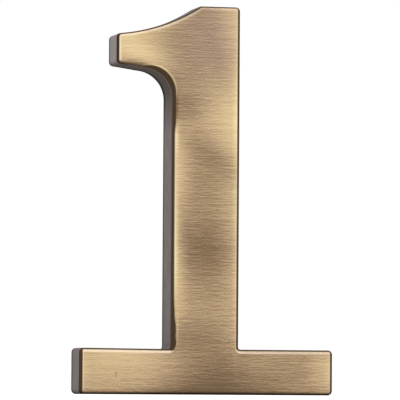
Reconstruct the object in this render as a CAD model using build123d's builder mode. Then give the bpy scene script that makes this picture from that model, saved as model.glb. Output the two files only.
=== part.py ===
"""House number one: a hollow-backed brass casting with a rounded front edge and two tapped bosses.

Frame, in millimetres: +X to the reader's right, +Z up, +Y out of the back towards the wall. The origin lies
on the back plane, midway between the two fixing holes on the centre line of the stem.
"""

import os

from build123d import *

# Overall sizes
NUMERAL_HEIGHT = 127.0
DEPTH = 12.7

# Foot, stem and crown, seen from the front
STEM_WIDTH = 22.9
FOOT_HEIGHT = 14.8
FOOT_REACH_LEFT = 41.8
FOOT_REACH_RIGHT = 43.4
CROWN_WIDTH = 13.4

# Flag: its tip, the hollow sweep along its top and the throat under it
FLAG_REACH = 30.0
FLAG_TIP_DROP = 9.6
FLAG_TIP_HEIGHT = 9.8
FLAG_UNDERSIDE_FALL = 2.7
FLAG_SWEEP_RADIUS = 60.0
THROAT_RADIUS = 9.6

# Rounding of the front edge and of the outline's corners
EDGE_RADIUS = 1.4
FACE_CORNER_RADIUS = 0.4
INSIDE_CORNER_RADIUS = 0.8
BACK_EDGE_BREAK = 0.3

# Cored back of the casting, with its cast radii and the draft that core, webs and bosses share
WALL_THICKNESS = 2.2
FACE_THICKNESS = 2.6
CORE_CORNER_RADIUS = 1.5
CORE_FLOOR_RADIUS = 0.8
DRAFT_ANGLE = 2.0

# Two bosses for threaded studs, each with a web to the walls of the stem
FIXING_SPACING = 76.2
BOSS_DIAMETER = 9.0
TAPPED_DEPTH = 7.5
TAPPED_BORE_DIAMETER = 3.3
THREAD_DIAMETER = 4.0
LEAD_IN_ANGLE = 90.0
WEB_THICKNESS = 2.0
WEB_SETBACK = 2.0

# Heights and sides that follow from the driving sizes
foot_bottom = -NUMERAL_HEIGHT / 2
foot_top = foot_bottom + FOOT_HEIGHT
crown_top = foot_bottom + NUMERAL_HEIGHT
stem_side = STEM_WIDTH / 2
tip_top = crown_top - FLAG_TIP_DROP
tip_bottom = tip_top - FLAG_TIP_HEIGHT
outside_corner_radius = EDGE_RADIUS + FACE_CORNER_RADIUS
core_depth = DEPTH - FACE_THICKNESS
boss_centres = [(0, -FIXING_SPACING / 2), (0, FIXING_SPACING / 2)]

# Corners of the outline, as X and Z
flag_tip_upper = (-FLAG_REACH, tip_top)
flag_tip_lower = (-FLAG_REACH, tip_bottom)
throat = (-stem_side, tip_bottom - FLAG_UNDERSIDE_FALL)
inside_corners = [(-stem_side, foot_top), (stem_side, foot_top)]
foot_left_corners = [(-FOOT_REACH_LEFT, foot_top), (-FOOT_REACH_LEFT, foot_bottom)]
foot_right_corners = [(FOOT_REACH_RIGHT, foot_bottom), (FOOT_REACH_RIGHT, foot_top)]
crown_right = (stem_side, crown_top)
crown_left = (stem_side - CROWN_WIDTH, crown_top)
outside_corners = [
    flag_tip_upper,
    flag_tip_lower,
    *foot_left_corners,
    *foot_right_corners,
    crown_right,
    crown_left,
]

back_plane = Plane(origin=(0, 0, 0), x_dir=(-1, 0, 0), z_dir=(0, 1, 0))


def corners_at(sketch, places):
    """The corners of a sketch that lie at the given places."""
    return [sketch.vertices().sort_by_distance(place)[0] for place in places]


# Outline of the numeral on the back plane
with BuildSketch(Plane.XZ) as outline:
    with BuildLine():
        Polyline(
            flag_tip_upper,
            flag_tip_lower,
            throat,
            inside_corners[0],
            *foot_left_corners,
            *foot_right_corners,
            inside_corners[1],
            crown_right,
            crown_left,
        )
        RadiusArc(crown_left, flag_tip_upper, FLAG_SWEEP_RADIUS)
    make_face()
    fillet(corners_at(outline, [throat]), THROAT_RADIUS)
    fillet(corners_at(outline, inside_corners), INSIDE_CORNER_RADIUS)
    fillet(corners_at(outline, outside_corners), outside_corner_radius)

# Core that hollows the back, narrowing towards the face so that it draws out of the casting
with BuildPart() as core:
    with BuildSketch(Plane.XZ) as core_outline:
        offset(outline.sketch_local, amount=-WALL_THICKNESS, kind=Kind.INTERSECTION)
        fillet(corners_at(core_outline, outside_corners), CORE_CORNER_RADIUS)
    extrude(amount=core_depth)
    draft(core.faces().filter_by(Axis.Y, reverse=True), Plane.XZ, DRAFT_ANGLE)
    fillet(core.faces().sort_by(Axis.Y)[0].edges(), CORE_FLOOR_RADIUS)

# Casting: the outline at full depth, rounded in front and cored from behind
with BuildPart() as numeral:
    with BuildSketch(Plane.XZ):
        add(outline.sketch_local)
    extrude(amount=DEPTH)
    fillet(numeral.faces().sort_by(Axis.Y)[0].edges(), EDGE_RADIUS)
    chamfer(numeral.faces().sort_by(Axis.Y)[-1].edges(), BACK_EDGE_BREAK)
    add(core.part, mode=Mode.SUBTRACT)

    # Webs across the stem, set back below the rim and rooted in the middle of the walls
    with BuildSketch(Plane.XZ.offset(WEB_SETBACK)):
        with Locations(*boss_centres):
            Rectangle(STEM_WIDTH, WEB_THICKNESS)
        offset(outline.sketch_local, amount=-WALL_THICKNESS / 2, mode=Mode.INTERSECT)
    extrude(amount=core_depth - WEB_SETBACK, taper=-DRAFT_ANGLE)

    # Bosses flush with the rim, each with a tapped bore and a lead-in
    with BuildSketch(Plane.XZ):
        with Locations(*boss_centres):
            Circle(BOSS_DIAMETER / 2)
    extrude(amount=core_depth, taper=-DRAFT_ANGLE)
    with Locations(back_plane):
        with Locations(*boss_centres):
            CounterSinkHole(TAPPED_BORE_DIAMETER / 2, THREAD_DIAMETER / 2, TAPPED_DEPTH, LEAD_IN_ANGLE)

numeral.part.label = "numeral"

os.makedirs("parts", exist_ok=True)
export_step(numeral.part, "parts/numeral.step")
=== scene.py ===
"""House number one: a cored brass casting with a brushed antique face, its tapped fixings and a plain studio.

Everything is in metres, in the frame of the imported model: +X to the reader's right, +Z up, +Y into the wall.
The back plane is Y = 0, the face looks along -Y, and the origin lies midway between the two fixing holes.
"""

from __future__ import annotations

import logging
import math
from collections.abc import Callable
from dataclasses import dataclass, field
from enum import Enum

import bmesh
import bpy
from mathutils import Matrix, Vector

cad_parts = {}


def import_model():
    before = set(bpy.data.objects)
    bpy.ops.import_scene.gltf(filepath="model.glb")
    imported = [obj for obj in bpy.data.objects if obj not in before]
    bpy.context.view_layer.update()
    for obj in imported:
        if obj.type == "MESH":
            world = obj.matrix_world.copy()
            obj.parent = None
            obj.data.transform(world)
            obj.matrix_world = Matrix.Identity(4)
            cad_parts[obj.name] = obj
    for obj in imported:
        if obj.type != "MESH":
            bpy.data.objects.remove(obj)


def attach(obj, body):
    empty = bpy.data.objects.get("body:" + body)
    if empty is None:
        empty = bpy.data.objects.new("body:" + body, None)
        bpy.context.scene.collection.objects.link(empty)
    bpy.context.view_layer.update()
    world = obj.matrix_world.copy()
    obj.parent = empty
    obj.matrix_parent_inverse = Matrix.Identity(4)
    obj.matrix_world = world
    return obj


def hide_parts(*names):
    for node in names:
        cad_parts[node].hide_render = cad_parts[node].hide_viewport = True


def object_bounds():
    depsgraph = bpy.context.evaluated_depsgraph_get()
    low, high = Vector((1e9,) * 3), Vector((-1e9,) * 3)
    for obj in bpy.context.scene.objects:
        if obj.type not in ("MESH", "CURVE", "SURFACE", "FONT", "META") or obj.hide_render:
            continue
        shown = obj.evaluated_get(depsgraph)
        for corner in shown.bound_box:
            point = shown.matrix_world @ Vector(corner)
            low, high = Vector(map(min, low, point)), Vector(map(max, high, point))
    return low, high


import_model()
CAD_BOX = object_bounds()

LOG = logging.getLogger("house_number")
MM = 0.001
BODY = "root"
NODE = "numeral"
IMAGE_SIDE = 400
MERGE_GAP = 0.002 * MM

UP = Vector((0.0, 0.0, 1.0))
INWARD = Vector((0.0, 1.0, 0.0))

WHITE = (1.0, 1.0, 1.0, 1.0)

Socket = bpy.types.NodeSocket
Sockets = bpy.types.bpy_prop_collection
Value = Socket | float | tuple[float, ...]
Inputs = dict[str | int, Value]
Colour = tuple[float, float, float, float]
Point = tuple[float, float, float]
Span = tuple[float, float]
Line = tuple[Span, ...]
Curve = Line | float
Test = Callable[[list[Vector]], bool]


class Pick(Enum):
    """What a selection in edit mode is made of."""

    VERTICES = "VERT"
    EDGES = "EDGE"
    FACES = "FACE"


class Join(Enum):
    """How a tool body changes the casting."""

    CUT = "DIFFERENCE"
    ADD = "UNION"


class Surface(Enum):
    """The surfaces of the casting, each with its own finish."""

    FACE = "brushed face and rounded edge"
    SIDES = "dark sides"
    HOLLOW = "cored back"
    RIM = "ground rim"
    BORE = "cut bore"


class Marks(Enum):
    """The marks that making leaves on metal, each with the names of its fine and its broad part."""

    LINES = ("Scratches", "Strokes")
    GRAIN = ("Grains", "Swells")


class Bench:
    """The modelling moves that every piece shares, each on the active object."""

    @staticmethod
    def clear() -> None:
        """Leaves edit mode and deselects everything."""
        if bpy.context.mode != "OBJECT":
            bpy.ops.object.mode_set(mode="OBJECT")
        bpy.ops.object.select_all(action="DESELECT")

    @staticmethod
    def take(piece: bpy.types.Object) -> None:
        """Makes one piece the only selected and the active one.

        Args:
            piece: The piece.
        """
        Bench.clear()
        piece.select_set(True)
        bpy.context.view_layer.objects.active = piece

    @staticmethod
    def edit(piece: bpy.types.Object) -> None:
        """Opens one piece in edit mode with nothing selected.

        Args:
            piece: The piece.
        """
        Bench.take(piece)
        bpy.ops.object.mode_set(mode="EDIT")
        bpy.ops.mesh.select_all(action="DESELECT")

    @staticmethod
    def pick(piece: bpy.types.Object, kind: Pick, wanted: Test) -> None:
        """Selects, in edit mode, the edges or faces whose corners pass a test.

        Args:
            piece: The piece that is open in edit mode.
            kind: Whether edges or faces are looked at.
            wanted: Says from an element's corner places whether it is selected.
        """
        bpy.ops.mesh.select_mode(type=kind.value)
        bpy.ops.mesh.select_all(action="DESELECT")
        mesh = bmesh.from_edit_mesh(piece.data)
        for element in mesh.edges if kind is Pick.EDGES else mesh.faces:
            if wanted([corner.co for corner in element.verts]):
                element.select_set(True)
        mesh.select_flush_mode()
        bmesh.update_edit_mesh(piece.data)

    @staticmethod
    def extrude(shift: Vector) -> None:
        """Draws what is selected out by a shift."""
        bpy.ops.mesh.extrude_region_move(TRANSFORM_OT_translate={"value": shift})

    @staticmethod
    def bevel(piece: bpy.types.Object, wanted: Test, radius: float, steps: int) -> None:
        """Rounds the edges that pass a test.

        Args:
            piece: The piece that is open in edit mode.
            wanted: Says from an edge's ends whether it is rounded.
            radius: The radius of the rounding.
            steps: How many faces go round it.
        """
        Bench.pick(piece, Pick.EDGES, wanted)
        bpy.ops.mesh.bevel(offset=radius, segments=steps, affect="EDGES")

    @staticmethod
    def merge() -> None:
        """Selects all of the piece that is open and merges its doubles."""
        bpy.ops.mesh.select_all(action="SELECT")
        bpy.ops.mesh.remove_doubles(threshold=MERGE_GAP)

    @staticmethod
    def close() -> None:
        """Merges doubles, turns every face outwards and goes back to object mode."""
        Bench.merge()
        bpy.ops.mesh.normals_make_consistent(inside=False)
        Bench.clear()

    @staticmethod
    def combine(casting: bpy.types.Object, tool: bpy.types.Object, how: Join) -> None:
        """Cuts a tool body out of the casting or adds it, and removes the tool.

        Args:
            casting: The piece that stays.
            tool: A closed body, whose finishes go with its faces.
            how: Whether the tool is cut out or added.
        """
        Bench.take(casting)
        step = casting.modifiers.new(how.name.lower(), "BOOLEAN")
        step.operation = how.value
        step.solver = "EXACT"
        step.material_mode = "TRANSFER"
        step.object = tool
        bpy.ops.object.modifier_apply(modifier=step.name)
        bpy.data.objects.remove(tool)

    @staticmethod
    def copy(piece: bpy.types.Object, name: str, shift: Vector) -> bpy.types.Object:
        """Copies a piece, mesh and all, to another place.

        Args:
            piece: The piece.
            name: The copy's name.
            shift: How far the copy stands from the piece.

        Returns:
            The copy, with its place in its mesh.
        """
        Bench.take(piece)
        bpy.ops.object.duplicate(linked=False)
        twin = bpy.context.object
        twin.name = name
        twin.data.name = name
        bpy.ops.transform.translate(value=shift)
        bpy.ops.object.transform_apply(location=True)
        return twin

    @staticmethod
    def soften(piece: bpy.types.Object, angle: float) -> None:
        """Shades a piece smooth up to an angle, with flat faces kept flat.

        Args:
            piece: The finished piece.
            angle: The sharpest edge that is still shaded smooth, in radians.
        """
        Bench.take(piece)
        bpy.ops.object.shade_smooth_by_angle(angle=angle)
        weighting = piece.modifiers.new("face_weighting", "WEIGHTED_NORMAL")
        weighting.keep_sharp = True
        bpy.ops.object.modifier_apply(modifier=weighting.name)


def behind(depth: float) -> Test:
    """A test for what lies wholly at a depth or behind it, towards the wall."""
    return lambda places: all(place.y > depth - MERGE_GAP for place in places)


def before(depth: float) -> Test:
    """A test for what lies wholly at a depth or before it, towards the reader."""
    return lambda places: all(place.y < depth + MERGE_GAP for place in places)


class Pen:
    """Draws a chain of edges in edit mode: a plane is drawn in to one point, which then makes the strokes."""

    def __init__(self, name: str, start: Vector, *places: Vector) -> None:
        """Sets the pen down.

        Args:
            name: The name of the new piece.
            start: Where the first stroke begins.
            places: Where the first strokes lead.
        """
        Bench.clear()
        bpy.ops.mesh.primitive_plane_add(size=MM, location=start)
        bpy.ops.object.transform_apply(location=True)
        self.piece: bpy.types.Object = bpy.context.object
        self.piece.name = name
        self.piece.data.name = name
        self.place = start.copy()
        bpy.ops.object.mode_set(mode="EDIT")
        bpy.ops.mesh.select_mode(type=Pick.VERTICES.value)
        bpy.ops.mesh.select_all(action="SELECT")
        bpy.ops.mesh.merge(type="CENTER")
        self.run(*places)

    def run(self, *places: Vector) -> None:
        """Draws straight strokes, but none to where the pen is already.

        Args:
            places: Where the strokes lead, in order.
        """
        for place in places:
            stroke = place - self.place
            if stroke.length > MERGE_GAP:
                Bench.extrude(stroke)
                self.place = place.copy()

    def turn(self, centre: Vector, axis: Vector, angle: float, steps: int) -> None:
        """Draws an arc.

        Args:
            centre: The centre of the arc.
            axis: The axis that the arc turns about.
            angle: How far it turns, in radians. The spin operator counts it the other way round.
            steps: How many edges the arc has.
        """
        bpy.ops.mesh.spin(steps=steps, angle=-angle, center=centre, axis=axis)
        self.place = centre + Matrix.Rotation(angle, 3, axis) @ (self.place - centre)

    def fill(self) -> bpy.types.Object:
        """Closes the chain and fills it with one face.

        Returns:
            The piece, in object mode.
        """
        Bench.merge()
        bpy.ops.mesh.edge_face_add()
        Bench.clear()
        return self.piece

    def lathe(self, centre: Vector, axis: Vector, steps: int) -> bpy.types.Object:
        """Turns the chain once round an axis into a closed body, with a flat face at each open end.

        Args:
            centre: A point on the axis.
            axis: The axis.
            steps: How many faces go round.

        Returns:
            The piece, in object mode.
        """
        bpy.ops.mesh.select_all(action="SELECT")
        bpy.ops.mesh.spin(steps=steps, angle=math.tau, center=centre, axis=axis)
        Bench.merge()
        bpy.ops.mesh.fill_holes(sides=0)
        Bench.close()
        return self.piece


@dataclass(frozen=True)
class Outline:
    """The figure one seen from the front, in metres, drawn at a chosen distance inside its edge."""

    height: float = 127.0 * MM
    stem_width: float = 22.9 * MM
    foot_height: float = 14.8 * MM
    foot_reach_left: float = 41.8 * MM
    foot_reach_right: float = 43.4 * MM
    foot_left_rise: float = 0.22 * MM
    crown_width: float = 13.4 * MM
    flag_reach: float = 30.0 * MM
    flag_tip_drop: float = 9.6 * MM
    flag_tip_height: float = 9.8 * MM
    flag_underside_fall: float = 2.7 * MM
    flag_sweep_radius: float = 60.0 * MM
    throat_radius: float = 9.6 * MM
    outside_radius: float = 1.45 * MM
    inside_radius: float = 0.8 * MM
    arc_edge: float = 0.25 * MM
    sweep_edge: float = 0.8 * MM

    @property
    def top(self) -> float:
        """Height of the crown."""
        return self.height / 2

    @property
    def bottom(self) -> float:
        """Height of the foot's underside."""
        return -self.height / 2

    @property
    def side(self) -> float:
        """Half the width of the stem."""
        return self.stem_width / 2

    @property
    def foot_top(self) -> float:
        """Height of the foot's upper edge."""
        return self.bottom + self.foot_height

    @property
    def tip_top(self) -> float:
        """Height of the flag tip's upper corner."""
        return self.top - self.flag_tip_drop

    @property
    def tip_bottom(self) -> float:
        """Height of the flag tip's lower corner."""
        return self.tip_top - self.flag_tip_height

    @property
    def sweep_centre(self) -> Vector:
        """Centre of the hollow sweep along the top of the flag.

        Returns:
            The centre as X and Z, above the flag.
        """
        crown = Vector((self.side - self.crown_width, self.top))
        tip = Vector((-self.flag_reach, self.tip_top))
        chord = crown - tip
        rise = math.sqrt(self.flag_sweep_radius**2 - (chord.length / 2) ** 2)
        return (crown + tip) / 2 + chord.orthogonal().normalized() * rise

    def draw(self, name: str, depth: float, inset: float = 0.0, outside_radius: float | None = None) -> Pen:
        """Draws the outline as a closed chain of edges.

        Args:
            name: The name of the new piece.
            depth: The Y of the plane that it is drawn on.
            inset: How far inside the edge it runs.
            outside_radius: The radius of the outward corners, if not the outline's own.

        Returns:
            The pen, still in edit mode.
        """
        radius = self.outside_radius if outside_radius is None else outside_radius
        centre = self.sweep_centre
        sweep = self.flag_sweep_radius + inset
        tip_x = inset - self.flag_reach
        crown_z = self.top - inset
        tip_x_centre = tip_x + radius
        tip_z_centre = centre.y - math.sqrt((sweep + radius) ** 2 - (tip_x_centre - centre.x) ** 2)
        tip_centre = Vector((tip_x_centre, tip_z_centre))
        crown_z_centre = crown_z - radius
        crown_x_centre = centre.x + math.sqrt((sweep + radius) ** 2 - (crown_z_centre - centre.y) ** 2)
        crown_centre = Vector((crown_x_centre, crown_z_centre))
        sweep_at_tip = centre + (tip_centre - centre).normalized() * sweep
        sweep_at_crown = centre + (crown_centre - centre).normalized() * sweep

        slope = self.flag_underside_fall / (self.flag_reach - self.side)
        lift = inset * math.sqrt(1 + slope**2)
        left = inset - self.side
        tip_low = Vector((tip_x, self.tip_bottom + lift - slope * inset))
        throat = Vector((left, self.tip_bottom + lift - slope * (self.flag_reach + left)))
        floor = self.bottom + inset
        ledge = self.foot_top - inset
        foot_left = inset - self.foot_reach_left
        foot_right = self.foot_reach_right - inset
        inner = self.inside_radius + inset
        corners = [
            (tip_low, radius),
            (throat, self.throat_radius + inset),
            (Vector((left, ledge)), inner),
            (Vector((foot_left, ledge + self.foot_left_rise)), radius),
            (Vector((foot_left, floor)), radius),
            (Vector((foot_right, floor)), radius),
            (Vector((foot_right, ledge)), radius),
            (Vector((-left, ledge)), inner),
            (Vector((-left, crown_z)), radius),
        ]
        start = Vector((tip_x, tip_centre.y))
        end = Vector((crown_centre.x, crown_z))
        stroke = OutlineStroke(Pen(name, Vector((start.x, depth, start.y))), depth, self.arc_edge)
        places = [start, *[corner for corner, _ in corners], end]
        for before, (corner, rounding), after in zip(places, corners, places[2:]):
            stroke.corner(before, corner, after, rounding)
        stroke.line(end)
        stroke.arc(crown_centre, sweep_at_crown)
        stroke.arc(centre, sweep_at_tip, self.sweep_edge)
        stroke.arc(tip_centre, start)
        return stroke.pen


@dataclass
class OutlineStroke:
    """Strokes of a pen on one plane, given as X and Z."""

    pen: Pen
    depth: float
    arc_edge: float

    def at(self, place: Vector) -> Vector:
        """A place on the plane, in the frame."""
        return Vector((place.x, self.depth, place.y))

    def line(self, place: Vector) -> None:
        """Draws a straight stroke."""
        self.pen.run(self.at(place))

    def arc(self, centre: Vector, end: Vector, edge: float | None = None) -> None:
        """Draws the shorter arc round a centre from the pen's place.

        Args:
            centre: The centre of the arc.
            end: Where the arc ends.
            edge: The length of each of its edges, if not the usual one.
        """
        start = Vector((self.pen.place.x, self.pen.place.z))
        if (end - start).length < MERGE_GAP:
            return
        angle = (start - centre).angle_signed(end - centre)
        steps = max(2, round(abs(angle) * (start - centre).length / (edge or self.arc_edge)))
        self.pen.turn(self.at(centre), INWARD, angle, steps)

    def corner(self, before: Vector, corner: Vector, after: Vector, radius: float) -> None:
        """Draws up to a rounded corner and round it.

        Args:
            before: A place on the straight run before the corner.
            corner: The corner.
            after: A place on the straight run after it.
            radius: The radius of the rounding.
        """
        back = (before - corner).normalized()
        ahead = (after - corner).normalized()
        half_angle = back.angle(ahead) / 2
        reach = radius / math.tan(half_angle)
        middle = (back + ahead).normalized()
        self.line(corner + back * reach)
        self.arc(corner + middle * (radius / math.sin(half_angle)), corner + ahead * reach)


def srgb(red: int, green: int, blue: int) -> Colour:
    """Turns a colour as a screen shows it, from 0 to 255, into a linear one.

    Args:
        red: The red part.
        green: The green part.
        blue: The blue part.

    Returns:
        The colour that a shader takes.
    """
    parts = [part / 255 for part in (red, green, blue)]
    linear = [part / 12.92 if part <= 0.04045 else ((part + 0.055) / 1.055) ** 2.4 for part in parts]
    return (linear[0], linear[1], linear[2], 1.0)


class NodeBench:
    """Short ways to add and join the nodes of one material, world or group."""

    def __init__(self, tree: bpy.types.NodeTree) -> None:
        """Takes a node tree to work on."""
        self.tree = tree

    def feed(self, inputs: Sockets, values: Inputs) -> None:
        """Links inputs to outputs, or sets their own values.

        Args:
            inputs: The inputs of one node.
            values: Outputs or values, by the name or number of the input.
        """
        for name, value in values.items():
            if isinstance(value, Socket):
                self.tree.links.new(value, inputs[name])
            else:
                inputs[name].default_value = value

    def add(self, kind: str, inputs: Inputs | None = None, **settings: object) -> bpy.types.Node:
        """Adds a node.

        Args:
            kind: The node's type.
            inputs: Values or outputs for its inputs, by name or number.
            settings: Its other settings.

        Returns:
            The node.
        """
        node = self.tree.nodes.new(kind)
        for name, setting in settings.items():
            setattr(node, name, setting)
        self.feed(node.inputs, inputs or {})
        return node

    def math(self, operation: str, *values: Value, clamp: bool = False) -> Socket:
        """A sum on numbers."""
        inputs = dict(enumerate(values))
        return self.add("ShaderNodeMath", inputs, operation=operation, use_clamp=clamp).outputs[0]

    def times(self, first: Value, second: Value) -> Socket:
        """The product of two numbers."""
        return self.math("MULTIPLY", first, second)

    def rest(self, share: Value) -> Socket:
        """What a share leaves of the whole."""
        return self.math("SUBTRACT", 1.0, share)

    def total(self, *values: Value) -> Value:
        """Adds up any number of values.

        Args:
            values: The values.

        Returns:
            Their total.
        """
        result = values[0]
        for value in values[1:]:
            result = self.math("ADD", result, value)
        return result

    def blend(self, first: Value, second: Value, share: float) -> Socket:
        """A share of the first number, with the rest from the second."""
        return self.math("MULTIPLY_ADD", first, share, self.times(second, 1.0 - share))

    def swing(self, value: Value, size: float, middle: float = 0.0) -> Socket:
        """A value from 0 to 1 as one that swings about a middle by a size."""
        return self.math("MULTIPLY_ADD", value, 2 * size, middle - size)

    def vector(self, operation: str, *values: Value) -> Socket:
        """A sum on vectors."""
        return self.add("ShaderNodeVectorMath", dict(enumerate(values)), operation=operation).outputs[0]

    def split(self, vector: Value) -> list[Socket]:
        """The three parts of a vector."""
        return list(self.add("ShaderNodeSeparateXYZ", {0: vector}).outputs)

    def fade(self, value: Value, start: Value, end: Value) -> Socket:
        """A smooth step from 0 at the start to 1 at the end."""
        inputs = {"Value": value, "From Min": start, "From Max": end}
        return self.add("ShaderNodeMapRange", inputs, interpolation_type="SMOOTHSTEP").outputs[0]

    def tint(self, mask: Value, low: Value, high: Value) -> Socket:
        """A mix of two colours by a mask."""
        return self.add("ShaderNodeMix", {0: mask, 6: low, 7: high}, data_type="RGBA").outputs[2]

    def noise(self, vector: Value, scale: float, detail: float = 2.0, roughness: float = 0.5) -> Socket:
        """A soft noise from 0 to 1."""
        inputs = {"Vector": vector, "Scale": scale, "Detail": detail, "Roughness": roughness}
        return self.add("ShaderNodeTexNoise", inputs).outputs[0]

    def turned(self, vector: Value, rotation: Point) -> Socket:
        """A place turned about the origin, by angles in radians."""
        return self.add("ShaderNodeMapping", {"Vector": vector, "Rotation": rotation}).outputs[0]

    def ramp(self, value: Value, shades: tuple[Colour, ...]) -> Socket:
        """A colour from a row of evenly spaced shades.

        Args:
            value: The place along the row, from 0 to 1.
            shades: The shades.

        Returns:
            The colour.
        """
        node = self.add("ShaderNodeValToRGB", {0: value})
        stops = node.color_ramp.elements
        while len(stops) < len(shades):
            stops.new(1.0)
        for number, (stop, shade) in enumerate(zip(stops, shades)):
            stop.position = number / (len(shades) - 1)
            stop.color = shade
        return node.outputs[0]

    def profile(self, value: Value, curve: Curve) -> Value:
        """A value that follows a line through points.

        Args:
            value: The place along the line.
            curve: Places, from lowest to highest, each with its value from 0 to 1, or one fixed value.

        Returns:
            The value.
        """
        if isinstance(curve, float):
            return curve
        low, high = curve[0][0], curve[-1][0]
        share = self.add("ShaderNodeMapRange", {"Value": value, "From Min": low, "From Max": high}).outputs[0]
        node = self.add("ShaderNodeFloatCurve", {"Value": share})
        line = node.mapping.curves[0].points
        while len(line) < len(curve):
            line.new(0.5, 0.5)
        for spot, (place, level) in zip(line, curve):
            spot.location = ((place - low) / (high - low), level)
            spot.handle_type = "AUTO_CLAMPED"
        node.mapping.update()
        return node.outputs[0]

    def bump(self, shader: bpy.types.Node, height: Value, strength: float, rise: float) -> None:
        """Raises the surface by a height.

        Args:
            shader: The shader whose normal is turned.
            height: The height, from 0 to 1.
            strength: How strongly it shows.
            rise: What a height of 1 is, in metres.
        """
        inputs = {"Strength": strength, "Distance": rise, "Height": height}
        self.feed(shader.inputs, {"Normal": self.add("ShaderNodeBump", inputs).outputs[0]})


@dataclass(frozen=True)
class Patch:
    """An oval on the brushed face, in millimetres and degrees, that is brighter or darker than the rest.

    It fades in from its edge over a share of its size, so that a small share makes its edge crisp.
    """

    name: str
    x: float
    z: float
    half_width: float
    half_height: float
    tone: float
    tilt: float = 0.0
    fade: float = 1.0


@dataclass(frozen=True)
class EdgeWear:
    """How far the brushing went over one side of the rounded edge, with painted light and shade on it.

    Each value is fixed, or a line over the height. The reach is the turn of the edge, from 0 at the face to
    1 at the side, where brass gives way to patina; a low reach also paints shade. The painted highlight
    says how strongly a painted highlight colour goes on where the edge starts to turn.
    """

    reach: Curve
    softness: Curve
    painted_highlight: Curve


@dataclass
class Effects:
    """The node groups that several finishes share. Places go in as millimetres.

    Each layer of scratches has its share of the full length, and its weight.
    """

    scratch_layers: Line = ((1.0, 0.32), (0.22, 0.38), (0.05, 0.3))
    layer_shift: Point = (31.0, 0.0, 17.0)
    beside: Point = (0.0, 0.0, 2.5)
    set_off: float = 0.5
    scratch_fade: Span = (0.3, 0.7)
    stroke_scale: float = 0.27
    stroke_fade: Span = (0.25, 0.75)
    grain_detail: float = 3.0
    grain_roughness: float = 0.6
    swell_scale: float = 0.06

    def __post_init__(self) -> None:
        """Builds each group once."""
        self.groups = {Marks.LINES: self.build_brush_lines(), Marks.GRAIN: self.build_cast_grain()}

    @staticmethod
    def start(name: str, sizes: list[str], marks: Marks) -> tuple[NodeBench, Sockets, Sockets]:
        """Starts a node group that takes a place and some sizes.

        Args:
            name: The group's name.
            sizes: The names of its sizes.
            marks: The marks that it makes.

        Returns:
            Its bench, what is given to it and what it puts out.
        """
        group = bpy.data.node_groups.new(name, "ShaderNodeTree")
        group.interface.new_socket("Place", in_out="INPUT", socket_type="NodeSocketVector")
        for way, names in (("INPUT", sizes), ("OUTPUT", marks.value)):
            for socket in names:
                group.interface.new_socket(socket, in_out=way, socket_type="NodeSocketFloat")
        bench = NodeBench(group)
        return bench, bench.add("NodeGroupInput").outputs, bench.add("NodeGroupOutput").inputs

    def build_brush_lines(self) -> bpy.types.NodeTree:
        """Lines that an abrasive belt leaves along X: scratches of three lengths, and broader strokes.

        A scratch is set off against the metal beside it, so the lines stay fine and don't run into bands.

        Returns:
            The node group.
        """
        bench, given, made = self.start("brush_lines", ["Length", "Width"], Marks.LINES)
        layers: list[Value] = []
        places: list[Value] = []
        for number, (share, weight) in enumerate(self.scratch_layers):
            length = bench.times(given["Length"], share)
            stretch = bench.add("ShaderNodeCombineXYZ", {0: length, 1: length, 2: given["Width"]}).outputs[0]
            shifted = bench.vector("ADD", given["Place"], tuple(part * number for part in self.layer_shift))
            place = bench.vector("DIVIDE", shifted, stretch)
            beside = bench.noise(bench.vector("ADD", place, self.beside), 1.0, 0.0)
            contrast = bench.math("MULTIPLY_ADD", beside, -self.set_off, self.set_off / 2)
            lines = bench.fade(bench.total(bench.noise(place, 1.0, 0.0), contrast), *self.scratch_fade)
            layers.append(bench.times(lines, weight))
            places.append(place)
        strokes = bench.fade(bench.noise(places[0], self.stroke_scale), *self.stroke_fade)
        bench.feed(made, {"Scratches": bench.total(*layers), "Strokes": strokes})
        return bench.tree

    def build_cast_grain(self) -> bpy.types.NodeTree:
        """The skin of a casting: fine grains, and broad swells under them.

        Returns:
            The node group.
        """
        bench, given, made = self.start("cast_grain", ["Grain Size"], Marks.GRAIN)
        place = bench.vector("DIVIDE", given["Place"], given["Grain Size"])
        grains = bench.noise(place, 1.0, self.grain_detail, self.grain_roughness)
        bench.feed(made, {"Grains": grains, "Swells": bench.noise(place, self.swell_scale)})
        return bench.tree


class Mixture:
    """A material at work: its shader, and places on the piece in millimetres."""

    def __init__(self, name: str) -> None:
        """Makes the material and its coordinates.

        Args:
            name: The material's name.
        """
        self.material = bpy.data.materials.new(name)
        self.material.use_nodes = True
        self.bench = NodeBench(self.material.node_tree)
        self.shader = self.material.node_tree.nodes["Principled BSDF"]
        coordinates = self.bench.add("ShaderNodeTexCoord").outputs
        self.normal = coordinates["Normal"]
        self.place = self.bench.vector("MULTIPLY", coordinates["Object"], (1 / MM, 1 / MM, 1 / MM))
        self.x, self.y, self.z = self.bench.split(self.place)

    def upper_half(self) -> Socket:
        """1 on the upper half of the numeral, and 0 on the lower."""
        return self.bench.fade(self.z, 0.0, 1.0)

    def effect(self, group: bpy.types.NodeTree, place: Value, sizes: dict[str, float]) -> Sockets:
        """Places a shared effect.

        Args:
            group: The effect's node group.
            place: The place that it works on.
            sizes: Its sizes, by name.

        Returns:
            Its results.
        """
        return self.bench.add("ShaderNodeGroup", {"Place": place, **sizes}, node_tree=group).outputs

    def dress(self, values: Inputs) -> bpy.types.Material:
        """Sets the shader's sockets by name.

        Args:
            values: Values or outputs for the sockets.

        Returns:
            The material.
        """
        self.bench.feed(self.shader.inputs, values)
        return self.material


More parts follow.
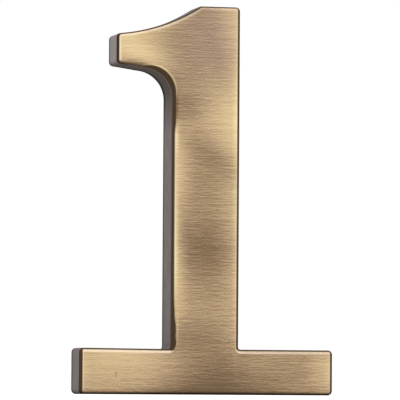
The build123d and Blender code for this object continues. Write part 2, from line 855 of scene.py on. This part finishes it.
@dataclass(frozen=True)
class BrushedFace:
    """Brass brushed bright across the face, with the dark patina left on the rounded edge."""

    name: str = "brushed_antique_brass"
    face_depth: float = 12.7
    edge_radius: float = 1.4

    # Brass from dull to bright, the colour of the painted highlight, and the patina on the edge: beside it,
    # at the flag's tip, and painted darker low on the foot as painted shade
    shades: tuple[Colour, ...] = (
        srgb(110, 89, 65),
        srgb(138, 114, 86),
        srgb(166, 140, 109),
        srgb(194, 168, 130),
        srgb(222, 197, 149),
        srgb(250, 231, 192),
    )
    painted_highlight_colour: Colour = srgb(250, 230, 204)
    patina: Colour = srgb(87, 70, 51)
    patina_side: Colour = srgb(118, 109, 106)
    painted_shade_low: Colour = srgb(26, 20, 14)
    patina_tip: Colour = srgb(78, 60, 46)
    tip_span: Span = (-25.0, -28.0)
    low_span: Span = (-61.8, -63.4)
    lacquer: float = 0.2
    lacquer_roughness: float = 0.3

    # The rounded edge, by the side that it faces: a painted highlight strongest on top and none below, and
    # painted shade on edges facing down and on the left beside the throat and the foot
    left: EdgeWear = EdgeWear(
        reach=(
            (-63.5, 0.27), (-48.5, 0.27), (-47.0, 0.1), (-38.0, 0.15), (-31.0, 0.29), (20.0, 0.34),
            (24.0, 0.2), (27.0, 0.12), (36.5, 0.12), (39.5, 0.36), (43.0, 0.36), (45.5, 0.52),
            (63.5, 0.52),
        ),
        softness=(
            (-63.5, 0.14), (-48.5, 0.14), (-47.0, 0.1), (-38.0, 0.14), (-31.0, 0.22), (20.0, 0.22),
            (27.0, 0.12), (34.0, 0.12), (38.0, 0.18), (45.5, 0.09), (63.5, 0.09),
        ),
        painted_highlight=(
            (-63.5, 0.5), (-48.5, 0.5), (-47.0, 0.0), (-36.0, 0.0), (-25.0, 0.5), (20.0, 0.5),
            (27.0, 0.0), (34.0, 0.0), (38.0, 0.6), (63.5, 0.6),
        ),
    )
    right: EdgeWear = EdgeWear(reach=0.3, softness=0.2, painted_highlight=0.3)
    above: EdgeWear = EdgeWear(
        reach=0.62,
        softness=0.2,
        painted_highlight=(
            (-63.5, 0.7), (-45.0, 0.7), (45.0, 0.45), (54.0, 0.43),
            (57.0, 0.38), (58.5, 0.23), (61.0, 0.2), (63.5, 0.3),
        ),
    )
    # Painted shade: edges that face down turn dark early, with no painted highlight
    below: EdgeWear = EdgeWear(reach=0.48, softness=0.46, painted_highlight=0.0)
    # How much of the painted highlight shows across the width, less towards the right
    painted_highlight_share: Line = (
        (-41.8, 1.0), (-5.0, 1.0), (-1.5, 0.67), (1.5, 0.75), (4.0, 0.93),
        (9.0, 1.0), (11.0, 1.0), (14.0, 0.7), (43.4, 0.7),
    )
    flatness: float = 0.02
    # Where the burnished band with its painted highlight ends as the edge turns
    burnish_and_highlight_start: float = 0.12
    side_start: Line = ((-63.5, 0.92), (-49.0, 0.92), (-47.0, 0.82), (63.5, 0.82))
    side_full: Line = ((-63.5, 1.0), (-49.0, 1.0), (-47.0, 0.96), (63.5, 0.96))

    # Areas of the face, partly uneven brass and partly painted reflection; rims along its edge, mostly painted
    # highlights and shade; and patina, with painted shade, in the corners that the brush didn't reach
    patches: tuple[Patch, ...] = (
        Patch("bright flag tip", -26.0, 50.5, 20.5, 13.0, 0.44, -15.0),
        Patch("bright edge of the sweep", -12.5, 56.5, 10.0, 2.5, 0.16, 20.0),
        Patch("bright right margin, upper", 14.5, 51.0, 13.0, 37.0, 0.42, 15.0),
        Patch("bright right margin, lower", 16.0, -9.0, 16.0, 68.5, 0.4),
        Patch("bright cloud under the crown", 8.5, 28.0, 20.5, 21.5, 0.33, 15.0),
        Patch("dull throat", -6.0, 30.5, 13.5, 7.0, -0.13, 15.0),
        Patch("slanting dull stroke", 3.5, 13.5, 17.0, 7.0, -0.14, -35.0),
        Patch("bright left margin, upper", -16.0, 7.5, 14.5, 29.5, 0.62, -5.0),
        Patch("bright left margin, lower", -11.5, -20.0, 7.0, 26.5, 0.4, 5.0),
        Patch("dull middle of the stem", 2.0, -16.0, 16.5, 15.0, -0.23, -15.0),
        Patch("dull end of the stem", -6.5, -45.5, 21.5, 12.0, -0.26, -5.0),
        Patch("bright left foot", -27.0, -48.5, 44.0, 24.0, 0.34, 15.0),
        Patch("dull middle of the foot", 4.0, -62.5, 30.5, 17.0, -0.36, 10.0),
        Patch("bright right foot", 42.0, -55.0, 10.5, 15.5, 0.25, 5.0),
        Patch("dull lower margin of the foot", 0.0, -63.5, 70.0, 3.5, -0.18),
        Patch("dull lower margin of the flag", -22.5, 43.6, 9.0, 2.1, -0.5, -8.0),
        Patch("bright shoulder of the throat", -16.5, 45.5, 12.0, 5.0, 0.12, -15.0),
        Patch("dull top of the right foot", 16.0, -50.5, 11.0, 3.0, -0.09),
    )
    # Painted highlights along the rims, painted shade on the rim under the throat, and a small scratch on the
    # foot
    rims: tuple[Patch, ...] = (
        Patch("dull rim under the throat", -10.2, 30.0, 1.4, 9.0, -0.25),
        Patch("bright left rim of the stem, upper", -10.2, 20.5, 1.7, 9.0, 0.25),
        Patch("bright left rim of the stem, lower", -10.2, -13.0, 1.7, 28.0, 0.22),
        Patch("bright rim above the foot", -9.3, -42.0, 0.6, 9.5, 0.16),
        Patch("bright left rim of the foot", -40.4, -56.0, 3.0, 10.0, 0.08),
        Patch("bright right rim of the stem", 10.4, 0.0, 2.2, 90.0, 0.13),
        Patch("bright right rim of the foot", 42.3, -56.0, 2.4, 10.0, 0.1),
        Patch("bright rim round the throat", -18.52, 35.37, 8.95, 8.95, 0.36, fade=0.09),
        Patch("small upright scratch on the foot", -29.7, -57.0, 0.35, 2.2, -0.28),
    )
    pools: tuple[Patch, ...] = (
        Patch("patina and painted shade in the throat", -19.12, 34.83, 9.1, 9.1, 1.0, fade=0.05),
        Patch("patina and painted shade above the foot, upper", -11.7, -42.6, 2.0, 6.6, 1.0, fade=0.12),
        Patch("patina and painted shade above the foot, lower", -11.2, -46.5, 1.6, 2.95, 1.0, fade=0.12),
    )
    patch_depth: float = 1000.0
    cool_light: Colour = srgb(172, 150, 162)
    cool_area: Patch = Patch("cool light on the crown", 2.0, 52.0, 24.0, 28.0, 0.12)

    # Brush lines, which are fainter where the face is polished
    ground_tone: float = 0.36
    fraying: float = 0.4
    scratch_length: float = 15.0
    scratch_width: float = 0.18
    scratch_tone: float = 0.24
    polished_scratches: float = 0.42
    polish_span: Span = (0.42, 0.8)
    stroke_tone: float = 0.03
    roughness: float = 0.36
    roughness_swing: float = 0.06
    line_strength: float = 0.5
    line_rise: float = 0.01 * MM

    def by_side(self, mix: Mixture, curves: tuple[Curve, ...]) -> Value:
        """Blends four values by the side of the outline that the rounded edge faces.

        Args:
            mix: The material at work.
            curves: The values on edges that face left, right, up and down.

        Returns:
            The blended value.
        """
        bench = mix.bench
        sideways = bench.vector("MULTIPLY", mix.normal, (1.0, 0.0, 1.0))
        across, _, upward = bench.split(bench.vector("NORMALIZE", sideways))
        ways = ((across, -1.0), (across, 1.0), (upward, 1.0), (upward, -1.0))
        parts: list[Value] = []
        for (direction, sign), curve in zip(ways, curves):
            share = bench.math("MULTIPLY", direction, sign, clamp=True)
            parts.append(bench.times(bench.times(share, share), bench.profile(mix.z, curve)))
        return bench.total(*parts)

    def clouds(self, mix: Mixture, place: Value, patches: tuple[Patch, ...]) -> Value:
        """The lighter and darker areas of the face, added up.

        Args:
            mix: The material at work.
            place: The place on the piece, in millimetres.
            patches: The areas.

        Returns:
            What they add to the tone.
        """
        bench = mix.bench
        tones: list[Value] = []
        for patch in patches:
            inputs = {
                "Vector": place,
                "Location": (patch.x, -self.face_depth, patch.z),
                "Rotation": (0.0, -math.radians(patch.tilt), 0.0),
                "Scale": (patch.half_width, self.patch_depth, patch.half_height),
            }
            oval = bench.add("ShaderNodeMapping", inputs, vector_type="TEXTURE", label=patch.name).outputs[0]
            ball = bench.add("ShaderNodeTexGradient", {0: oval}, gradient_type="SPHERICAL").outputs[1]
            tones.append(bench.times(bench.fade(ball, 0.0, patch.fade), patch.tone))
        return bench.total(*tones)

    def build(self, effects: Effects) -> bpy.types.Material:
        """Builds the finish.

        Args:
            effects: The shared effects.

        Returns:
            The material.
        """
        mix = Mixture(self.name)
        bench = mix.bench
        sides = (self.left, self.right, self.above, self.below)
        reach = self.by_side(mix, tuple(side.reach for side in sides))
        softness = self.by_side(mix, tuple(side.softness for side in sides))
        painted_highlight = self.by_side(mix, tuple(side.painted_highlight for side in sides))

        # How far the edge has turned from the face to the side, and where it is dark or bright
        depth = bench.math("DIVIDE", bench.total(mix.y, self.face_depth), self.edge_radius, clamp=True)
        turn = bench.math("SQRT", bench.times(depth, bench.math("SUBTRACT", 2.0, depth)))
        start = bench.math("MAXIMUM", bench.math("SUBTRACT", reach, softness), self.flatness)
        dark = bench.fade(turn, start, bench.total(reach, softness))
        # Patina and painted shade in the corners of the throat and above the foot
        dark = bench.math("MAXIMUM", dark, self.clouds(mix, mix.place, self.pools), clamp=True)
        bright = bench.rest(dark)

        # The tone of the brushed brass, with its areas that are partly painted reflection and its rims of
        # painted highlight and shade, and with less contrast between scratches where it is polished
        sizes = {"Length": self.scratch_length, "Width": self.scratch_width}
        lines = mix.effect(effects.groups[Marks.LINES], mix.place, sizes)
        sway = bench.add("ShaderNodeCombineXYZ", {0: bench.swing(lines["Strokes"], self.fraying)}).outputs[0]
        ground = bench.total(
            self.ground_tone,
            self.clouds(mix, bench.vector("ADD", mix.place, sway), self.patches),
            self.clouds(mix, mix.place, self.rims),
            bench.swing(lines["Strokes"], self.stroke_tone),
        )
        polish = bench.fade(ground, *self.polish_span)
        contrast = bench.math("MULTIPLY_ADD", polish, self.polished_scratches - 1.0, 1.0)
        tone = bench.total(ground, bench.times(bench.swing(lines["Scratches"], self.scratch_tone), contrast))

        # The brass, burnished with a painted highlight where the edge starts to turn, and the patina beyond it
        cool = self.clouds(mix, mix.place, (self.cool_area,))
        brass = bench.tint(cool, bench.ramp(tone, self.shades), self.cool_light)
        painted_highlight = bench.times(painted_highlight, bench.profile(mix.x, self.painted_highlight_share))
        burnish_and_highlight = bench.times(bench.fade(turn, 0.0, self.burnish_and_highlight_start), bright)
        brass = bench.tint(bench.times(burnish_and_highlight, painted_highlight), brass, self.painted_highlight_colour)
        side_span = (bench.profile(mix.z, line) for line in (self.side_start, self.side_full))
        patina = bench.tint(bench.fade(turn, *side_span), self.patina, self.patina_side)
        # Painted shade: the patina darkens towards the bottom of the foot
        patina = bench.tint(bench.fade(mix.z, *self.low_span), patina, self.painted_shade_low)
        tip = bench.times(bench.fade(mix.x, *self.tip_span), mix.upper_half())
        patina = bench.tint(tip, patina, self.patina_tip)
        bench.bump(mix.shader, lines["Scratches"], self.line_strength, self.line_rise)
        return mix.dress(
            {
                "Base Color": bench.tint(dark, brass, patina),
                "Metallic": bright,
                "Roughness": bench.swing(lines["Scratches"], self.roughness_swing, self.roughness),
                "Specular IOR Level": 0.0,
                "Coat Weight": bench.times(bright, self.lacquer),
                "Coat Roughness": self.lacquer_roughness,
            }
        )


@dataclass(frozen=True)
class PatinaSides:
    """The dark patina that the sides keep, under a satin lacquer, with painted shade under the flag and on
    walls that face down, where the lacquer is thin, and painted light on the side of the flag tip.
    """

    name: str = "dark_patina"
    low: Colour = srgb(118, 109, 106)
    high: Colour = srgb(138, 128, 125)
    # Colour of the painted shade
    painted_shade: Colour = srgb(101, 93, 86)
    # Colour, share and reach of the painted light on the side of the flag tip
    painted_light: Colour = srgb(170, 161, 158)
    painted_light_tone: float = 0.7
    painted_light_span: Span = (24.0, 30.0)
    throat_span: Span = (20.0, 40.0)
    throat_slope: Span = (0.3, 0.0)
    throat_reach: Span = (0.0, 8.0)
    # A dark line along the back edge, darker still in the painted shade
    wall_line: Colour = srgb(50, 44, 41)
    painted_shade_line: Colour = srgb(12, 11, 10)
    wall_line_width: float = 3.0
    painted_shade_line_width: float = 5.0
    wall_line_tone: float = 0.95
    grain_size: float = 0.35
    grain_share: float = 0.5
    grain_fade: Span = (0.3, 0.7)
    grain_strength: float = 0.3
    grain_rise: float = 0.02 * MM
    roughness: float = 0.5
    roughness_swing: float = 0.05
    lacquer: float = 0.25
    lacquer_roughness: float = 0.4

    def build(self, effects: Effects) -> bpy.types.Material:
        """Builds the finish.

        Args:
            effects: The shared effects.

        Returns:
            The material.
        """
        mix = Mixture(self.name)
        bench = mix.bench
        grain = mix.effect(effects.groups[Marks.GRAIN], mix.place, {"Grain Size": self.grain_size})
        upward = bench.split(mix.normal)[2]
        underside = bench.math("MULTIPLY", upward, -1.0, clamp=True)
        leftward = bench.times(mix.x, -1.0)
        tip = bench.fade(leftward, *self.painted_light_span)
        # Painted light: the side of the flag tip, on the upper half, is tinted lighter
        painted_light = bench.times(tip, mix.upper_half())
        throat = bench.times(bench.fade(mix.z, *self.throat_span), bench.fade(upward, *self.throat_slope))
        throat = bench.times(throat, bench.fade(leftward, *self.throat_reach))
        # Painted shade on walls that face down and in the throat under the flag, but not at the flag tip
        painted_shade = bench.math("MAXIMUM", underside, bench.times(throat, bench.rest(tip)))
        broader = self.painted_shade_line_width - self.wall_line_width
        line_width = bench.math("MULTIPLY_ADD", painted_shade, broader, self.wall_line_width)
        wall_line = bench.fade(mix.y, bench.times(line_width, -1.0), 0.0)
        shade = bench.blend(grain["Grains"], grain["Swells"], self.grain_share)
        colour = bench.tint(bench.fade(shade, *self.grain_fade), self.low, self.high)
        colour = bench.tint(bench.times(painted_light, self.painted_light_tone), colour, self.painted_light)
        colour = bench.tint(painted_shade, colour, self.painted_shade)
        line = bench.tint(painted_shade, self.wall_line, self.painted_shade_line)
        colour = bench.tint(bench.times(wall_line, self.wall_line_tone), colour, line)
        open_share = bench.rest(bench.math("MAXIMUM", painted_shade, wall_line))
        bench.bump(mix.shader, grain["Grains"], self.grain_strength, self.grain_rise)
        return mix.dress(
            {
                "Base Color": colour,
                "Metallic": 0.0,
                "Roughness": bench.swing(grain["Grains"], self.roughness_swing, self.roughness),
                "Specular IOR Level": 0.0,
                "Coat Weight": bench.times(open_share, self.lacquer),
                "Coat Roughness": self.lacquer_roughness,
            }
        )


@dataclass(frozen=True)
class MarkedMetal:
    """Plain metal with the marks of how it was made, which also shade, roughen and raise it."""

    name: str
    low: Colour
    high: Colour
    marks: Marks
    sizes: dict[str, float]
    roughness: float
    roughness_swing: float
    metallic: float = 1.0
    turn: Point = (0.0, 0.0, 0.0)
    fine_share: float = 1.0
    shade_fade: Span | None = None
    strength: float = 0.0
    rise: float = 0.0

    def build(self, effects: Effects) -> bpy.types.Material:
        """Builds the finish.

        Args:
            effects: The shared effects.

        Returns:
            The material.
        """
        mix = Mixture(self.name)
        bench = mix.bench
        made = mix.effect(effects.groups[self.marks], bench.turned(mix.place, self.turn), self.sizes)
        fine, broad = (made[part] for part in self.marks.value)
        shade = bench.blend(fine, broad, self.fine_share)
        if self.shade_fade is not None:
            shade = bench.fade(shade, *self.shade_fade)
        if self.rise:
            bench.bump(mix.shader, fine, self.strength, self.rise)
        return mix.dress(
            {
                "Base Color": bench.tint(shade, self.low, self.high),
                "Metallic": self.metallic,
                "Roughness": bench.swing(fine, self.roughness_swing, self.roughness),
            }
        )


# The raw cast skin inside the hollow back, darkened and never brushed
CAST_HOLLOW = MarkedMetal(
    name="cast_hollow",
    low=srgb(52, 45, 40),
    high=srgb(88, 78, 70),
    marks=Marks.GRAIN,
    sizes={"Grain Size": 0.45},
    roughness=0.68,
    roughness_swing=0.08,
    metallic=0.45,
    fine_share=0.4,
    shade_fade=(0.3, 0.7),
    strength=0.6,
    rise=0.06 * MM,
)

# The back rim and the boss ends, ground flat on a coarse belt
GROUND_RIM = MarkedMetal(
    name="ground_rim",
    low=srgb(126, 104, 76),
    high=srgb(182, 156, 116),
    marks=Marks.LINES,
    sizes={"Length": 14.0, "Width": 0.6},
    roughness=0.42,
    roughness_swing=0.08,
    turn=(0.0, math.radians(72.0), 0.0),
    fine_share=0.6,
    strength=0.5,
    rise=0.02 * MM,
)

# Freshly cut brass in the tapped bores, with turned rings
CUT_THREAD = MarkedMetal(
    name="cut_thread",
    low=srgb(168, 138, 88),
    high=srgb(216, 188, 130),
    marks=Marks.LINES,
    sizes={"Length": 4.0, "Width": 0.12},
    roughness=0.28,
    roughness_swing=0.06,
    turn=(math.pi / 2, 0.0, 0.0),
)


@dataclass
class Casting:
    """The numeral: one casting with a rounded front edge, a cored back, webs, bosses and bores."""

    finishes: dict[Surface, bpy.types.Material]
    outline: Outline = field(default_factory=Outline)
    depth: float = 12.7 * MM
    edge_radius: float = 1.4 * MM
    edge_steps: int = 10
    back_break: float = 0.3 * MM
    back_break_steps: int = 2
    wall: float = 2.2 * MM
    face_thickness: float = 2.6 * MM
    core_corner_radius: float = 1.5 * MM
    core_floor_radius: float = 0.8 * MM
    core_floor_steps: int = 4
    draft: float = math.radians(2.0)
    overrun: float = 0.6 * MM
    boss_radius: float = 4.5 * MM
    boss_root_radius: float = 1.0 * MM
    boss_root_sink: float = 0.03 * MM
    boss_places: tuple[float, float] = (-38.1 * MM, 38.1 * MM)
    bore_radius: float = 2.0 * MM
    bore_depth: float = 7.5 * MM
    bore_lead_in: float = 0.35 * MM
    drill_point: float = math.radians(59.0)
    web_thickness: float = 2.0 * MM
    web_setback: float = 2.0 * MM
    web_half_span: float = 11.2 * MM
    web_edge_radius: float = 0.4 * MM
    round_steps: int = 64
    smooth_angle: float = math.radians(32.0)

    @property
    def core_depth(self) -> float:
        """How deep the back is hollowed."""
        return self.depth - self.face_thickness

    def dress(self, piece: bpy.types.Object, surface_of: Callable[[bpy.types.MeshPolygon], Surface]) -> None:
        """Gives each face of a piece the finish of its surface.

        Args:
            piece: The piece.
            surface_of: Says which surface a face belongs to.
        """
        order = list(self.finishes)
        for surface in order:
            piece.data.materials.append(self.finishes[surface])
        for polygon in piece.data.polygons:
            polygon.material_index = order.index(surface_of(polygon))

    def shell(self) -> bpy.types.Object:
        """Makes the solid numeral: the outline at full depth, rounded in front and broken at the back.

        Returns:
            The closed piece.
        """
        piece = self.outline.draw("numeral_casting", 0.0).fill()
        Bench.edit(piece)
        bpy.ops.mesh.select_all(action="SELECT")
        Bench.extrude(INWARD * -self.depth)
        Bench.close()
        Bench.edit(piece)
        Bench.bevel(piece, before(-self.depth), self.edge_radius, self.edge_steps)
        Bench.bevel(piece, behind(0.0), self.back_break, self.back_break_steps)
        Bench.close()
        shoulder = self.edge_radius - self.depth

        def surface_of(polygon: bpy.types.MeshPolygon) -> Surface:
            """Finds the surface of a face: brushed before the shoulder, rim at the back, and sides between.

            Args:
                polygon: The face.

            Returns:
                Its surface.
            """
            if polygon.center.y < shoulder:
                return Surface.FACE
            return Surface.RIM if polygon.center.y > -MERGE_GAP else Surface.SIDES

        self.dress(piece, surface_of)
        return piece

    def core(self) -> bpy.types.Object:
        """Makes the body of the hollow, narrowing towards the face, with a rounded floor.

        Returns:
            The closed tool body, which stands proud of the back plane.
        """
        piece = self.outline.draw("core", 0.0, self.wall, self.core_corner_radius).fill()
        Bench.edit(piece)
        bpy.ops.mesh.select_all(action="SELECT")
        if piece.data.polygons[0].normal.y > 0:
            bpy.ops.mesh.flip_normals()
        bpy.ops.mesh.inset(thickness=self.core_depth * math.tan(self.draft), depth=self.core_depth)
        Bench.bevel(piece, before(-self.core_depth), self.core_floor_radius, self.core_floor_steps)
        Bench.pick(piece, Pick.EDGES, behind(0.0))
        bpy.ops.mesh.edge_face_add()
        Bench.extrude(INWARD * self.overrun)
        Bench.close()
        self.dress(piece, lambda polygon: Surface.HOLLOW)
        return piece

    def web(self, height: float) -> bpy.types.Object:
        """Makes one web across the stem, with draft and a rounded edge.

        Args:
            height: The height of the web's middle.

        Returns:
            The closed tool body, rooted in the walls and the face.
        """
        front = -self.core_depth - self.overrun
        reach = -self.web_setback - front
        root = self.web_thickness + 2 * reach * math.tan(self.draft)
        Bench.clear()
        bpy.ops.mesh.primitive_cube_add(
            size=1.0,
            location=(0.0, front + reach / 2, height),
            scale=(2 * self.web_half_span, reach, root),
        )
        bpy.ops.object.transform_apply(location=True, scale=True)
        piece = bpy.context.object
        Bench.edit(piece)
        outer = behind(-self.web_setback)
        Bench.pick(piece, Pick.FACES, outer)
        bpy.ops.transform.resize(value=(1.0, 1.0, self.web_thickness / root))

        def long_edge(ends: list[Vector]) -> bool:
            """Whether an edge runs along the back of the web."""
            return outer(ends) and abs(ends[0].z - ends[1].z) < MERGE_GAP

        Bench.bevel(piece, long_edge, self.web_edge_radius, self.core_floor_steps)
        Bench.close()
        self.dress(piece, lambda polygon: Surface.HOLLOW)
        return piece

    def boss(self, height: float) -> bpy.types.Object:
        """Makes one boss on the lathe: flush with the rim, with draft and a cast radius at its root.

        Args:
            height: The height of the boss's axis.

        Returns:
            The closed tool body, rooted in the face.
        """
        root_start = self.boss_root_radius - self.core_depth - self.boss_root_sink
        root = self.boss_radius - root_start * math.tan(self.draft)
        flare = root + self.boss_root_radius
        rim = self.boss_radius - self.back_break
        wall = ((rim, 0.0), (self.boss_radius, -self.back_break), (root, root_start))
        pen = Pen("boss", *(Vector((radius, depth, height)) for radius, depth in wall))
        pen.turn(Vector((flare, root_start, height)), UP, math.pi / 2, self.core_floor_steps)
        pen.run(Vector((flare, -self.core_depth - self.overrun, height)))
        piece = pen.lathe(UP * height, INWARD, self.round_steps)
        self.dress(piece, lambda face: Surface.RIM if face.center.y > -self.back_break else Surface.HOLLOW)
        return piece

    def bore(self, height: float) -> bpy.types.Object:
        """Makes the drill for one tapped bore: its lead-in, its wall and its point.

        Args:
            height: The height of the bore's axis.

        Returns:
            The closed tool body, which stands proud of the back plane.
        """
        mouth = self.bore_radius + self.bore_lead_in + self.overrun
        point = self.bore_radius / math.tan(self.drill_point)
        drill = (
            (mouth, self.overrun),
            (self.bore_radius, -self.bore_lead_in),
            (self.bore_radius, -self.bore_depth),
            (0.0, -self.bore_depth - point),
        )
        pen = Pen("bore", *(Vector((radius, depth, height)) for radius, depth in drill))
        piece = pen.lathe(UP * height, INWARD, self.round_steps)
        self.dress(piece, lambda polygon: Surface.BORE)
        return piece

    def build(self) -> bpy.types.Object:
        """Builds and dresses the numeral.

        Returns:
            The finished piece.
        """
        piece = self.shell()
        Bench.combine(piece, self.core(), Join.CUT)
        lower, upper = self.boss_places
        for make, how in ((self.web, Join.ADD), (self.boss, Join.ADD), (self.bore, Join.CUT)):
            tool = make(lower)
            twin = Bench.copy(tool, f"upper_{tool.name}", UP * (upper - lower))
            Bench.combine(piece, tool, how)
            Bench.combine(piece, twin, how)
        Bench.soften(piece, self.smooth_angle)
        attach(piece, BODY)
        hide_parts(NODE)
        return piece


@dataclass
class Thread:
    """The helical ridges of the tapped threads, one in each bore."""

    finish: bpy.types.Material
    pitch: float = 0.7 * MM
    turns: int = 9
    crest_radius: float = 1.66 * MM
    root_radius: float = 2.05 * MM
    crest_width: float = 0.16 * MM
    root_width: float = 0.6 * MM
    start_depth: float = 0.75 * MM
    round_steps: int = 40
    smooth_angle: float = math.radians(40.0)

    def ridge(self, name: str, height: float) -> bpy.types.Object:
        """Makes one ridge: its section is drawn, screwed down the bore and capped.

        Args:
            name: The name of the piece.
            height: The height of the bore's axis.

        Returns:
            The closed piece.
        """
        root, crest = self.root_width / 2, self.crest_width / 2
        radii = (self.root_radius, self.crest_radius, self.crest_radius, self.root_radius, self.root_radius)
        section = zip(radii, (root, crest, -crest, -root, root))
        piece = Pen(name, *(Vector((radius, side - self.start_depth, 0.0)) for radius, side in section)).piece
        Bench.close()
        Bench.take(piece)
        screw = piece.modifiers.new("screw", "SCREW")
        screw.axis = "Y"
        screw.screw_offset = -self.pitch
        screw.iterations = self.turns
        screw.steps = self.round_steps
        screw.render_steps = self.round_steps
        bpy.ops.object.modifier_apply(modifier=screw.name)
        Bench.edit(piece)
        bpy.ops.mesh.select_all(action="SELECT")
        bpy.ops.mesh.fill_holes(sides=0)
        bpy.ops.mesh.select_all(action="SELECT")
        bpy.ops.transform.translate(value=UP * height)
        Bench.close()
        piece.data.materials.append(self.finish)
        Bench.soften(piece, self.smooth_angle)
        return piece

    def build(self, lower: float, upper: float) -> list[bpy.types.Object]:
        """Builds the ridge of the lower bore and copies it to the upper one.

        Args:
            lower: The height of the lower bore's axis.
            upper: The height of the upper bore's axis.

        Returns:
            The finished pieces.
        """
        first = self.ridge("thread_lower", lower)
        pieces = [first, Bench.copy(first, "thread_upper", UP * (upper - lower))]
        for piece in pieces:
            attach(piece, BODY)
        return pieces


@dataclass(frozen=True)
class Viewpoint:
    """The camera of the photograph, fitted to the outline of the numeral."""

    yaw: float = math.radians(14.2)
    pitch: float = math.radians(-2.7)
    roll: float = math.radians(0.36)
    target: Vector = field(default_factory=lambda: Vector((-2.0, -12.7, -0.03)) * MM)
    focal_pixels: float = 4000.0
    distance: float = 1305.0 * MM
    sensor: float = 36.0

    def build(self) -> None:
        """Places the camera and makes it the scene's own."""
        forward = Vector(
            (
                math.sin(self.yaw) * math.cos(self.pitch),
                math.cos(self.yaw) * math.cos(self.pitch),
                -math.sin(self.pitch),
            )
        )
        level = Vector((math.cos(self.yaw), -math.sin(self.yaw), 0.0))
        right = level * math.cos(self.roll) + level.cross(forward) * math.sin(self.roll)
        up = right.cross(forward)
        data = bpy.data.cameras.new("photo_camera")
        data.sensor_width = self.sensor
        data.lens = self.sensor * self.focal_pixels / IMAGE_SIDE
        camera = bpy.data.objects.new("photo_camera", data)
        turn = Matrix((right, up, -forward)).transposed()
        camera.matrix_world = Matrix.Translation(self.target - forward * self.distance) @ turn.to_4x4()
        bpy.context.scene.collection.objects.link(camera)
        bpy.context.scene.camera = camera


@dataclass(frozen=True)
class Softbox:
    """A soft studio lamp that looks at the numeral, in metres and in brightness of its surface."""

    name: str
    place: Point
    width: float
    height: float
    brightness: float
    aim: Point = (0.0, 0.0, 0.0)

    def build(self) -> bpy.types.Object:
        """Hangs the lamp.

        Returns:
            The lamp.
        """
        data = bpy.data.lights.new(self.name, "AREA")
        data.shape = "RECTANGLE"
        data.size = self.width
        data.size_y = self.height
        data.energy = self.brightness * math.pi * self.width * self.height
        lamp = bpy.data.objects.new(self.name, data)
        place = Vector(self.place)
        turn = (Vector(self.aim) - place).to_track_quat("-Z", "Y").to_matrix().to_4x4()
        lamp.matrix_world = Matrix.Translation(place) @ turn
        lamp.visible_camera = False
        bpy.context.scene.collection.objects.link(lamp)
        return lamp


@dataclass(frozen=True)
class Studio:
    """A plain white room: a pale floor that keeps the shadow, soft lamps and a white surround."""

    floor_size: float = 6.0
    floor_colour: Colour = (0.9, 0.9, 0.9, 1.0)
    floor_glow: float = 0.45
    fill: float = 0.62
    lamps: tuple[Softbox, ...] = (
        Softbox("overhead_softbox", (0.05, -0.12, 0.8), 0.8, 0.6, 1.3),
        Softbox("front_softbox", (0.75, -1.1, 0.5), 0.6, 0.6, 0.5),
    )

    @staticmethod
    def shown(bench: NodeBench) -> Socket:
        """Tells rays that see or mirror a surface from those that only carry its light.

        Args:
            bench: The bench of the surface's node tree.

        Returns:
            1 for the first kind, and 0 for the second.
        """
        rays = bench.add("ShaderNodeLightPath").outputs
        mirrored = bench.math("MAXIMUM", rays["Is Glossy Ray"], rays["Is Transmission Ray"])
        return bench.math("MAXIMUM", rays["Is Camera Ray"], mirrored)

    def floor(self, height: float) -> None:
        """Lays the floor under the foot.

        Args:
            height: The height of the floor.
        """
        Bench.clear()
        bpy.ops.mesh.primitive_plane_add(size=self.floor_size, location=(0.0, 0.0, height))
        bpy.ops.object.transform_apply(location=True)
        floor = bpy.context.object
        floor.name = "floor"
        material = bpy.data.materials.new("pale_floor")
        material.use_nodes = True
        bench = NodeBench(material.node_tree)
        bench.feed(
            material.node_tree.nodes["Principled BSDF"].inputs,
            {
                "Base Color": self.floor_colour,
                "Roughness": 1.0,
                "Specular IOR Level": 0.0,
                "Emission Color": WHITE,
                "Emission Strength": bench.times(self.shown(bench), self.floor_glow),
            },
        )
        floor.data.materials.append(material)

    def surround(self) -> None:
        """Makes the world white where it is seen or mirrored, and dimmer as light on the object."""
        world = bpy.data.worlds.new("white_surround")
        world.use_nodes = True
        bpy.context.scene.world = world
        bench = NodeBench(world.node_tree)
        strength = bench.math("MULTIPLY_ADD", self.shown(bench), 1.0 - self.fill, self.fill)
        bench.feed(world.node_tree.nodes["Background"].inputs, {"Color": WHITE, "Strength": strength})

    def build(self) -> None:
        """Builds the room and hangs its lamps."""
        self.floor(CAD_BOX[0].z)
        self.surround()
        for lamp in self.lamps:
            LOG.info("lamp %s", lamp.build().name)


def main() -> None:
    """Builds the numeral, its threads and the studio."""
    logging.basicConfig(level=logging.INFO, format="%(name)s: %(message)s")
    bpy.context.scene.view_settings.view_transform = "Standard"
    effects = Effects()
    thread_finish = CUT_THREAD.build(effects)
    finishes = {
        Surface.FACE: BrushedFace().build(effects),
        Surface.SIDES: PatinaSides().build(effects),
        Surface.HOLLOW: CAST_HOLLOW.build(effects),
        Surface.RIM: GROUND_RIM.build(effects),
        Surface.BORE: thread_finish,
    }
    casting = Casting(finishes)
    for piece in (casting.build(), *Thread(thread_finish).build(*casting.boss_places)):
        LOG.info("piece %s: %d faces", piece.name, len(piece.data.polygons))
    Studio().build()
    Viewpoint().build()


if __name__ == "__main__":
    main()
